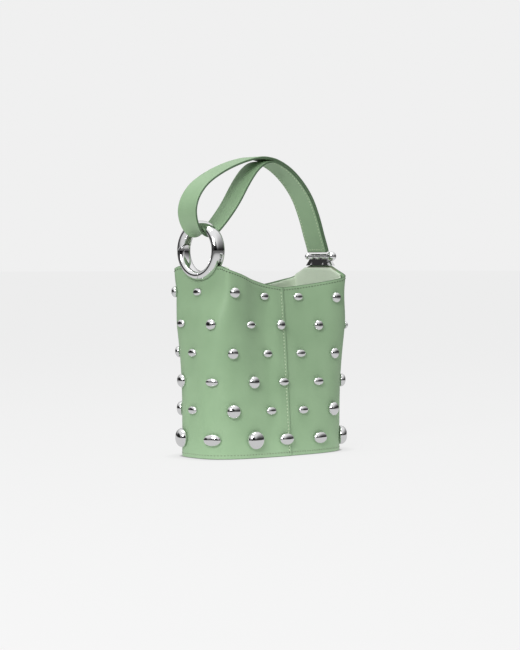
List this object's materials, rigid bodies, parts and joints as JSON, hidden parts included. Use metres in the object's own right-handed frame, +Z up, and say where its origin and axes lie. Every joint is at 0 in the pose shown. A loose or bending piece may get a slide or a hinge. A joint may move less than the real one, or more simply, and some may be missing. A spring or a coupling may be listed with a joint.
{
  "type": "bucket bag",
  "caption": "Small leather bucket bag with domed studs, a doubled strap handle through a gated ring, and a barbell bar in a clamp on the other end.",
  "frame": {"origin": "middle of the base, on the surface the bag stands on", "axes": "+X from the ring end to the bar end along the bag, +Y across to the far seam, +Z up"},
  "size_m": [0.1862, 0.0975, 0.2957],
  "materials": {
    "shell_leather": "smooth semi-matte mint leather",
    "strap_leather": "smooth semi-matte mint strap leather with painted edges",
    "suede_lining": "pale green suede-like lining",
    "stiffener_board": "grey-brown bag board",
    "hardware_chrome": "polished",
    "stud_chrome": "polished",
    "plain_steel": "plain"
  },
  "bodies": {
    "bag": {"front_panel": "shell_leather", "back_panel": "shell_leather", "base_panel": "shell_leather", "base_board": "stiffener_board", "wall_lining": "suede_lining", "base_lining": "suede_lining", "near_seam_tape": "stiffener_board", "far_seam_tape": "stiffener_board", "ring_pad": "stiffener_board", "clamp_pad": "stiffener_board", "stud_row_1": "stud_chrome", "stud_row_2": "stud_chrome", "stud_row_3": "stud_chrome", "stud_row_4": "stud_chrome", "stud_row_5": "stud_chrome", "stud_row_6": "stud_chrome", "stud_washers_1": "plain_steel", "stud_washers_2": "plain_steel", "stud_washers_3": "plain_steel", "stud_washers_4": "plain_steel", "stud_washers_5": "plain_steel", "stud_washers_6": "plain_steel", "ring_body": "hardware_chrome", "gate_spring": "plain_steel", "ring_screws": "plain_steel", "clamp_outer_jaw": "hardware_chrome", "clamp_inner_jaw": "hardware_chrome", "clamp_screws": "plain_steel"},
    "gate": {"ring_gate": "hardware_chrome", "gate_pin": "plain_steel"},
    "handle": {"strap": "strap_leather", "bar_rod": "hardware_chrome", "near_ball": "hardware_chrome", "far_ball": "hardware_chrome", "bar_pins": "plain_steel"}
  },
  "joints": [
    {"name": "handle_swing", "type": "hinge", "parent": "bag", "child": "handle", "pos_m": [0.077, 0, 0.1968], "axis": [0, 1, 0], "range_deg": [-5, 0]},
    {"name": "gate_hinge", "type": "hinge", "parent": "bag", "child": "gate", "pos_m": [-0.07837, 0.00418, 0.1801], "axis": [0.9962, 0.0872, 0], "range_deg": [0, 15], "stiffness_Nm_per_rad": 0.03, "springref_deg": -22.92}
  ]
}
